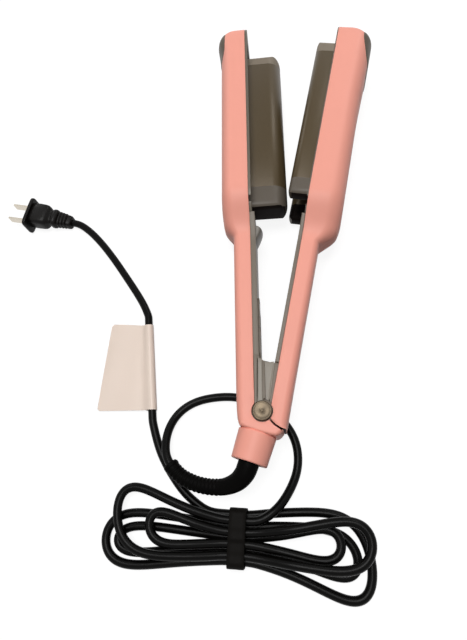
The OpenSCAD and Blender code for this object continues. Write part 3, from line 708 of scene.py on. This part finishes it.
insert("left_insert_skin", LEFT, -1, "left_arm", "left_tip_insert")
insert("right_insert_skin", RIGHT, 1, "right_arm", "right_tip_insert")

# ---------------------------------------------------------------- hinge housings
HEEL_X = GX + HH - 0.3
SEAM_STEPS = 22
LEFT_SEAM = (19.3, 4.4), 17.8         # centre and radius of the joint line
RIGHT_SEAM = (17.9, 8.4), 17
SEAM_BAND = 0.14                      # how far from the line a face still belongs to it
CORNER = (-14.2, -8.6), (8.0, -15.9)  # ends of the left housing's slanted face

seam = arc(*LEFT_SEAM[0], LEFT_SEAM[1], 249.8, 213.5, SEAM_STEPS)
bore = arc(0, 0, 7, -50.6, -224.4, 30)
slanted = [(lerp(CORNER[0][0], CORNER[1][0], t),
            lerp(CORNER[0][1], CORNER[1][1], t) - 0.7 * math.sin(math.pi * t), 1.8)
           for t in (0.15, 0.3, 0.5, 0.7, 0.85)]
left_plan = ([(-GX, HEEL_Y, 0)] + [(-lerp(GX, HEEL_X, t), HEEL_Y, 0 if t < 1 else 5) for t in (0.5, 1)]
             + [(-17.1, 9, 5), (-17.0, 4, 5), (-16.85, 0, 5), (-16.5, -3.6, 4.6), (-15.9, -6.2, 4),
                (-15.2, -7.9, 3), (*CORNER[0], 2.2)]
             + slanted
             + [(*CORNER[1], 2.2), (9.8, -15.6, 2.8), (11.4, -14.6, 3.2), (12.5, -13.4, 3.2)]
             + [(x, y, lerp(1.0, 0.35, clamp01(8 * k / SEAM_STEPS))) for k, (x, y) in enumerate(seam)]
             + [(x, y, 0.3) for x, y in bore])
barrel = [(x, y, 0.2) for x, y in arc(0, 0, 8, 0, 355, 60)]

right_seam = arc(*RIGHT_SEAM[0], RIGHT_SEAM[1], 225.8, 266.5, SEAM_STEPS)
right_plan = ([(GX, HEEL_Y, 0), (GX, 9, 0.3)] + [(x, y, 0.3) for x, y in arc(0, 0, 7, 44.4, -31.8, 16)]
              + [(x, y, lerp(0.35, 1.2, clamp01(8 * k / SEAM_STEPS - 7)))
                 for k, (x, y) in enumerate(right_seam)]
              + [(17.1, -7.6, 4), (HEEL_X, -5, 5), (HEEL_X, 0, 5), (HEEL_X, 7, 5), (HEEL_X, HEEL_Y, 5),
                 (11, HEEL_Y, 0)])


def shade_seam(ob, centre, radius, place):
    """The faces of the joint line between the housings carry painted shade: a dark colour for the shadow deep
    in the gap.
    """
    ob.data.materials.append(SEAM_SHADE)
    at = place((*centre, 0))
    for f in ob.data.polygons:
        away = Vector((f.center[0] - at[0], f.center[1] - at[1])).length * 1000
        if abs(away - radius) < SEAM_BAND and abs(f.normal[2]) < 0.5:
            f.material_index = 1


left_housing = piece("left_housing_skin", *prism(left_plan, -HH, HH, still, {2: (-1, 0)}),
                     "left_arm", PINK, "pink_plastic", ["left_hinge_housing"], 40)
shade_seam(left_housing, *LEFT_SEAM, still)
piece("hinge_barrel", *joined(prism(barrel, 5, 10.3, still), prism(barrel, -10.3, -5, still)),
      "left_arm", LINER, "liner_plastic", [], 40)
right_housing = piece("right_housing_skin", *prism(right_plan, -HH, HH, swung, {len(right_plan) - 2: (1, 0)}),
                      "right_arm", PINK, "pink_plastic", ["right_hinge_housing"], 40)
shade_seam(right_housing, *RIGHT_SEAM, swung)

# ---------------------------------------------------------------- collar, sleeve and hinge caps
TILT = math.radians(-18.5)
TAIL_AT = (-3.9, -11.8)
# Profiles of (radius, height)
COLLAR = [(9.1, 19.4), (9.3, 19.8), (9.7, 20), (11.5, 20), (11.9, 19.8), (12.1, 19.4), (12.14, 18.6),
          (12.3, 14), (12.5, 10), (12.7, 5), (12.82, 2), (12.8, 1.1), (12.6, 0.6), (12.2, 0.4), (9.1, 0.4)]
SLEEVE = [(0, 18.8), (8.2, 18.8), (8.7, 18.6), (9.0, 18.1), (9.0, 9.1), (10.1, 9.0), (10.1, 6.2), (9.0, 6.1),
          (9.0, 0.5), (3, 0.4), (3, -2.8), (0, -2.8)]
CAP = [(0, 10.5), (6.2, 10.5), (6.4, 10.7), (6.4, 13.35), (6.32, 13.65), (6.1, 13.88), (5.8, 13.98),
       (5.45, 14.0), (5.3, 13.94), (5.15, 13.88), (3.5, 13.88), (0.9, 13.88), (0.75, 13.8), (0, 13.78)]


def tail(p):
    """The frame of the collar: z along its axis, away from the hinge."""
    x, y = p[0], -p[2]
    return row((x * math.cos(TILT) - y * math.sin(TILT) + TAIL_AT[0],
                x * math.sin(TILT) + y * math.cos(TILT) + TAIL_AT[1], p[1] + MID))


piece("collar_skin", *lathe(COLLAR, tail, closed=True), "left_arm", PINK, "pink_plastic", ["cord_collar"], 60)
piece("sleeve_skin", *lathe(SLEEVE, tail), "swivel", BLACK, "black_plastic", ["swivel_sleeve"], 40)
piece("cap_near_skin", *lathe(CAP, still, 96), "left_arm", DISC, "spun_metal", ["hinge_cap_near"], 40)
piece("cap_far_skin", *lathe([(r, -z) for r, z in CAP], still, 96),
      "left_arm", DISC, "spun_metal", ["hinge_cap_far"], 40)

# ---------------------------------------------------------------- grey tongues in the V
TONGUE_ROWS, TONGUE_COLUMNS = 16, 12


def tongue(left, right, y_low, low, high, dome, place):
    """A domed plate on the hinge, its lower end round the cap, between two edges. Each is given as its lower
    x, upper x and upper y, and left says too how far the upper end curves."""
    rings = []
    for i in range(TONGUE_ROWS + 1):
        t = i / TONGUE_ROWS
        top, under = [], []
        for k in range(TONGUE_COLUMNS + 1):
            w = k / TONGUE_COLUMNS
            x = lerp(lerp(left[0], left[1], t), lerp(right[0], right[1], t), w)
            y_end = lerp(left[2], right[2], w) + 1.2 * (2 * w - 1) ** 2 * left[3]
            y0 = math.sqrt(max(y_low * y_low - x * x, 0)) if abs(x) < y_low else 0
            y = lerp(y0, y_end, t)
            rim = min(w, 1 - w, (1 - t) * 1.6, 0.14) / 0.14
            top.append(place((x, y, high - dome + dome * math.sqrt(clamp01(rim)))))
            under.append(place((x, y, low)))
        rings.append(top + under[::-1])
    return loft(rings)


NEAR_CAP, NEAR_BORE = 6.8, 8.15      # radii that the lower ends follow
for name, left, right, y_low, low, high, dome, place, body, mat in (
        ("left_rail", (-4.9, -4.9, 38.5, 0.4), (-3.2, -2.25, 37.6), NEAR_CAP, 11.75, 12.3, 0.3,
         still, "left_arm", LINER),
        ("left_tongue", (-2.95, -2.0, 35.6, 1.0), (0.7, 0.9, 34.4), NEAR_CAP, 11.75, 12.35, 0.55,
         still, "left_arm", ARM),
        # left_tongue_back is a dark plate under the gaps between the left tongue and its rail, put there as
        # painted shade in those gaps
        ("left_tongue_back", (-4.8, -4.8, 37, 0), (0.4, 0.6, 33.6), NEAR_CAP, 11.3, 11.7, 0,
         still, "left_arm", FRAME_SHADED),
        ("right_tongue", (-2.6, -5.6, 33.0, 0.6), (3.0, 1.5, 33.6), NEAR_BORE, 9.75, 10.15, 0.35,
         swung, "right_arm", ARM),
        ("right_rail", (3.4, 1.9, 33.8, 0.3), (4.95, 4.95, 34.2), NEAR_BORE, 9.75, 10.25, 0.25,
         swung, "right_arm", LINER)):
    piece(name, *tongue(left, right, y_low, low, high, dome, place), body, mat, "liner_plastic", [], 50)

# ---------------------------------------------------------------- closing stop
STOP = [(0, 12.5), (1.8, 12.2), (3.1, 11.6), (4.3, 10.7), (4.9, 9.7), (4.95, 8.5), (4.6, 7.2), (3.9, 5.3),
        (3.1, 3.5), (2, 1.3), (0.9, -0.8), (0, -2)]
STOP_HALF = 8.8
STOP_ROWS = 24
outline = catmull([(x, y, 0) for x, y in STOP], 4)
rings = []
for i in range(STOP_ROWS + 1):
    a = math.pi * (i / STOP_ROWS - 0.5) * 0.97
    s = math.cos(a) ** 0.55
    z = STOP_HALF * math.sin(a)
    rings.append([still((p[0] * s - 1.25, SHOULDER + 8 + (p[1] - 8) * (0.5 + 0.5 * s), z)) for p in outline])
piece("closing_stop_skin", *loft(rings), "left_arm", STOPPER, "cap_plastic", ["closing_stop"], 50)


# ---------------------------------------------------------------- CAD pieces with their moulded edges
def soften(node, body, mat, slot, width, segments, shaded=None):
    """A copy of a CAD piece whose corners are rounded; shaded picks the faces that get painted shade, a
    near-black colour standing in for the shadow on them.
    """
    bm = bmesh.new()
    bm.from_mesh(nodes[node].data)
    bmesh.ops.remove_doubles(bm, verts=bm.verts, dist=2e-6)
    bmesh.ops.dissolve_limit(bm, angle_limit=math.radians(0.6), verts=bm.verts, edges=bm.edges)
    bmesh.ops.recalc_face_normals(bm, faces=bm.faces)
    me = bpy.data.meshes.new(node + "_skin")
    bm.to_mesh(me)
    bm.free()
    me.materials.clear()
    me.materials.append(mat)
    ob = bpy.data.objects.new(node + "_skin", me)
    bpy.context.collection.objects.link(ob)
    bev = ob.modifiers.new("edges", "BEVEL")
    bev.width = width / 1000
    bev.segments = segments
    bev.limit_method = "ANGLE"
    bev.angle_limit = math.radians(38)
    bev.use_clamp_overlap = True
    bpy.context.view_layer.update()
    done = bpy.data.meshes.new_from_object(ob.evaluated_get(bpy.context.evaluated_depsgraph_get()))
    ob.modifiers.clear()
    bm = bmesh.new()
    bm.from_mesh(done)
    tidy(bm, 44)
    bm.to_mesh(me)
    bm.free()
    bpy.data.meshes.remove(done)
    me.materials.append(SHADE)
    for f in me.polygons:
        f.material_index = int(bool(shaded and shaded(f.center * 1000, f.normal)))
    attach(ob, body)
    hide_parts(node)


def lower_end(p, n):
    """Faces that look towards the hinge; they get painted shade."""
    return n[1] < -0.75


def lower_end_or_valley(p, n):
    """These, and faces of the valley, which look towards the middle height; all of them get painted shade."""
    return lower_end(p, n) or abs(p[2] - MID) < 17 and n[2] * (p[2] - MID) < -0.1 * abs(p[2] - MID)


# Node, body, look, slot, width and segments of the rounding, and for the bottom caps the faces that get
# painted shade
for args in (("left_cap_top", "left_arm", CAPS, "cap_plastic", 1.4, 5),
             ("left_cap_bottom", "left_arm", LOW_CAPS_SHADED, "cap_plastic", 3.0, 7, lower_end),
             ("right_cap_top", "right_arm", CAPS, "cap_plastic", 1.4, 5),
             ("right_cap_bottom", "right_arm", LOW_CAPS_SHADED, "cap_plastic", 2.4, 6, lower_end_or_valley),
             ("centre_wave_plate", "left_arm", WAVE, "wave_coating", 0.25, 2),
             ("twin_wave_plate", "right_arm", WAVE, "wave_coating", 0.25, 2),
             ("left_jaw_frame", "left_arm", FRAME_SHADED, "cap_plastic", 0.3, 2),
             ("right_jaw_frame", "right_arm", FRAME_SHADED, "grey_plastic", 0.2, 2),
             ("left_inner_cover", "left_arm", LINER, "liner_plastic", 0.4, 3),
             ("right_inner_cover", "right_arm", LINER, "liner_plastic", 0.4, 3),
             ("control_panel", "left_arm", LINER, "liner_plastic", 0.3, 3),
             ("right_hinge_arm", "right_arm", ARM, "grey_plastic", 0.3, 2)):
    soften(*args)

# ---------------------------------------------------------------- plug
PLUG_AT = (-196.2, 180.6)
SLANT = math.radians(-12.7)
FLANGE_HALF, FLANGE_MID = (13.2, 9.1), 9.1
# The flange's height over its blade face, and how far its edge is drawn in there
FLANGE = ((0, 0.9), (0.1, 0.5), (0.4, 0.15), (0.9, 0), (2.2, 0), (2.7, 0.15), (2.95, 0.5), (3.0, 1.0))
RIBS, RIB_STEP = 3, 2.5


def plugged(p):
    """The frame of the plug: x across it, y up, z from its blade face to the cord."""
    x, y = p[2], p[0]
    return row((x * math.cos(SLANT) - y * math.sin(SLANT) + PLUG_AT[0],
                x * math.sin(SLANT) + y * math.cos(SLANT) + PLUG_AT[1], p[1]))


def superoval(z, mid, w, h, power, shift=0.0, n=44):
    """A ring of the plug: half width w and half height h round the height mid."""
    out = []
    for k in range(n):
        c, s = math.cos(TAU * k / n), math.sin(TAU * k / n)
        x = math.copysign(abs(c) ** (2 / power), c) * w
        y = math.copysign(abs(s) ** (2 / power), s) * h
        out.append(plugged((x + shift, mid + y, z)))
    return out


# Rings of the grip as superoval takes them: the body, three ribs, the end round the cord
GRIP = [(2.0, 9, 9.3, 6.7, 4.5), (2.8, 9, 9.4, 6.8, 4.5), (3.6, 9, 9.6, 7.0, 4.5), (9, 9, 9.8, 7.1, 4.5),
        (14, 8.8, 9.6, 7.0, 4.5), (16.2, 8.6, 9.3, 6.8, 4.2), (17.3, 8.4, 8.7, 6.3, 4),
        (18.4, 8.1, 7.6, 5.5, 3.6), (19.4, 7.9, 6.6, 4.8, 3.2), (20.2, 7.8, 6.4, 4.7, 3.2),
        (20.9, 7.8, 6.9, 5.3, 3.2), (21.8, 7.7, 7.5, 5.8, 3.2), (23.2, 7.5, 7.7, 6.0, 3.2),
        (24.6, 7.3, 7.4, 5.8, 3.2), (25.3, 7.1, 6.8, 5.3, 3.2), (25.7, 7.0, 6.1, 4.7, 3.2)]
for k in range(RIBS):
    z, w, mid = 26.0 + RIB_STEP * k, 6.6 - 0.35 * k, 6.8 - 0.45 * k
    GRIP += [(z + 0.1, mid, w - 0.9, 4.1, 3.4), (z + 0.5, mid, w - 0.1, 4.9, 3.4),
             (z + 0.9, mid, w, 5.0, 3.4), (z + 1.5, mid - 0.1, w, 4.95, 3.4),
             (z + 1.8, mid - 0.1, w - 0.15, 4.8, 3.4), (z + 2.2, mid - 0.2, w - 0.95, 4.05, 3.4)]
GRIP += [(33.7, 5.2, 4.6, 4.0, 3.6), (34.1, 5.1, 5.3, 4.6, 3.8), (35.5, 4.9, 5.2, 4.5, 3.8),
         (36.8, 4.7, 4.9, 4.3, 3.6), (37.3, 4.5, 4.5, 4.0, 3.2), (37.5, 4.3, 3.9, 3.5, 2.6)]

flange = [superoval(z, FLANGE_MID, FLANGE_HALF[0] - d, FLANGE_HALF[1] - d, 7, -0.6, 60) for z, d in FLANGE]
plug = piece("plug_moulding", *joined(loft(flange), loft([superoval(*g) for g in GRIP])),
             "left_arm", BLACK, "black_plastic", ["plug_body"], 50)

# ---------------------------------------------------------------- tie round the hank
TIE_TURN = math.radians(-4)
TIE_HALF, TIE_THICK, TIE_CORNER = 5.5, 0.95, 3.5      # half width, thickness, corner radius
TIE_W = 4 * LANE_STEP + 2 * CORD_R + 0.8
TIE_H = 4.8 * CORD_R - 0.2
TIE_MID = 2.4 * CORD_R + 0.6
CORNER_STEPS, SIDE_STEPS = 14, 24


def bundle(p):
    """The frame of the tie: x across the bundle, y up, z along it."""
    x, y = p[2], p[0]
    return row((TIE[0] + x * math.cos(TIE_TURN) - y * math.sin(TIE_TURN),
                TIE[1] + x * math.sin(TIE_TURN) + y * math.cos(TIE_TURN), p[1]))


def strap_line():
    """Points round the bundle with their outward directions; the top dips between the runs."""
    reach = TIE_W / 2 - TIE_CORNER
    pts = []
    for q in range(4):
        cx = reach * (1 if q in (0, 3) else -1)
        cy = (TIE_H / 2 - TIE_CORNER) * (1 if q in (0, 1) else -1)
        for k in range(CORNER_STEPS + 1):
            a = math.pi / 2 * (q + k / CORNER_STEPS)
            c, s = math.cos(a), math.sin(a)
            pts.append((cx + TIE_CORNER * c, cy + TIE_CORNER * s, c, s))
        if q in (0, 2):
            side = 1 if q == 0 else -1
            for j in range(1, SIDE_STEPS):
                x = side * lerp(reach, -reach, j / SIDE_STEPS)
                sink = 0.35 * (0.5 - 0.5 * math.cos(TAU * x / LANE_STEP)) if side > 0 else 0
                pts.append((x, side * TIE_H / 2 - sink, 0, side))
    return pts


def strap():
    """The strap's section run round the bundle, thicker where its end lies over it."""
    e = TIE_HALF
    loops = []
    for x, y, c, s in strap_line():
        over = 0.7 * ease(clamp01((x + 2) / 1.2)) * ease(clamp01((13 - x) / 1.2)) if s > 0.95 else 0.0
        thick = TIE_THICK + over
        section = ((-e, 0.25), (0.2 - e, 0.02), (e - 0.2, 0.02), (e, 0.25), (e, thick - 0.3),
                   (e - 0.25, thick), (2.5, thick + 0.06), (0, thick), (-2.5, thick + 0.06),
                   (0.25 - e, thick), (-e, thick - 0.3))
        loops.append([bundle((x + c * d, TIE_MID + y + s * d, z)) for z, d in section])
    loops.append(loops[0])
    return loft(loops, ends=False)


tie = piece("hank_strap", *strap(), "left_arm", STRAP, "black_plastic", ["cable_tie"], 50)

# ---------------------------------------------------------------- tag folded over the cord
LEAN = math.radians(5.15)
TAG_AT = (-84.86, 42)
TAG_HALF = 33             # half its length along the cord
TAG_FILM = 0.32           # its thickness
FOLD_R, FOLD_INNER_R, FOLD_Z = 3.55, 3.45, 3.5
TAG_ROWS, TAG_COLUMNS, FOLD_STEPS = 44, 24, 10


def tagged(p):
    """The frame of the tag: y along the cord."""
    return row((TAG_AT[0] + p[0] * math.cos(LEAN) - p[1] * math.sin(LEAN),
                TAG_AT[1] + p[0] * math.sin(LEAN) + p[1] * math.cos(LEAN), p[2]))


def tag_sheet():
    """The fold round the cord and the leaf that runs out from it, with a slight wave."""
    rings = []
    for i in range(TAG_ROWS + 1):
        t = i / TAG_ROWS
        y_fold = lerp(-TAG_HALF, TAG_HALF, t)
        corner = 1 - min(1, min(t, 1 - t) * 2 * TAG_HALF / 2.2)
        rounding = 1.6 * (1 - math.sqrt(clamp01(1 - corner ** 2)))
        far = lerp(-42.0, -29.7, t) + rounding
        y_far = lerp(-28.4, 38.6, t)
        fold = []
        for k in range(FOLD_STEPS + 1):
            a = math.radians(lerp(-80, 84, k / FOLD_STEPS))
            fold.append((FOLD_R * math.cos(a), y_fold, FOLD_Z + FOLD_R * math.sin(a)))
        leaf = []
        for k in range(1, TAG_COLUMNS + 1):
            u = k / TAG_COLUMNS
            z = 3.75 + 3.25 * (1 - ease(u * 5.2)) - 1.6 * u * u + 0.35 * math.sin(7 * u + 3 * t) * u
            leaf.append((lerp(0.1, far, u), lerp(y_fold, y_far, u), z))
        under = [(x, y, z - TAG_FILM) for x, y, z in reversed(leaf[2:])]
        for a in (205, 225, 248, 268):
            turn = math.radians(a)
            under.append((FOLD_INNER_R * math.cos(turn), y_fold, FOLD_Z + 3.4 * math.sin(turn)))
        rings.append([tagged(p) for p in fold + leaf + under])
    return loft(rings)


tag = piece("cord_label", *tag_sheet(), "left_arm", TAG, "tag_film", ["cord_tag"], 50)

# ---------------------------------------------------------------- stage and light
FLOOR_SIZE, FLOOR_Z = 6, -0.0003
FLOOR_GREY = (0.16, 0.16, 0.16, 1)
WHITE = (1, 1, 1, 1)
# Strength on the object, and what the camera, gloss and glass see on top of it
FLOOR_GLOW = (0, 0.9)
WORLD_GLOW = (0.05, 0.87)
# Name, place, size and power of each lamp; all of them look at the origin
LAMPS = (("right", (0.62, 1.0, 1.0), (0.35, 0.5), 3.5),
         ("left", (-0.85, 1.05, 0.75), (0.35, 0.5), 2.5),
         ("side", (-1.2, -0.1, 0.9), (0.6, 0.6), 0.5),
         ("top", (-0.05, -0.1, 1.5), (0.7, 0.7), 16.6))


def seen_white(tree, base, gain):
    """A strength of base on the object, and gain more for what the camera, gloss and glass see."""
    lp = tree.nodes.new("ShaderNodeLightPath")
    total = lp.outputs["Is Camera Ray"]
    for ray in ("Is Glossy Ray", "Is Transmission Ray"):
        most = tree.nodes.new("ShaderNodeMath")
        most.operation = "MAXIMUM"
        tree.links.new(total, most.inputs[0])
        tree.links.new(lp.outputs[ray], most.inputs[1])
        total = most.outputs[0]
    out = tree.nodes.new("ShaderNodeMath")
    out.operation = "MULTIPLY_ADD"
    tree.links.new(total, out.inputs[0])
    out.inputs[1].default_value = gain
    out.inputs[2].default_value = base
    return out.outputs[0]


def area(name, loc, size, power):
    d = bpy.data.lights.new(name, "AREA")
    d.shape = "RECTANGLE"
    d.size, d.size_y = size
    d.energy = power
    o = bpy.data.objects.new(name, d)
    bpy.context.collection.objects.link(o)
    o.location = loc
    o.rotation_euler = (-Vector(loc)).to_track_quat("-Z", "Y").to_euler()


bpy.ops.mesh.primitive_plane_add(size=FLOOR_SIZE, location=(0, 0, FLOOR_Z))
floor = bpy.context.object
floor.name = "floor"
ground = Mat("floor")
ground.set(Base_Color=FLOOR_GREY, Roughness=0.9, Specular_IOR_Level=0.1, Emission_Color=WHITE)
ground.link(seen_white(ground.t, *FLOOR_GLOW), ground.b.inputs["Emission Strength"])
floor.data.materials.append(ground.m)

world = bpy.data.worlds.new("world")
bpy.context.scene.world = world
world.use_nodes = True
sky = world.node_tree.nodes["Background"]
sky.inputs["Color"].default_value = WHITE
world.node_tree.links.new(seen_white(world.node_tree, *WORLD_GLOW), sky.inputs["Strength"])

for lamp in LAMPS:
    area(*lamp)

bpy.context.scene.view_settings.view_transform = "Standard"
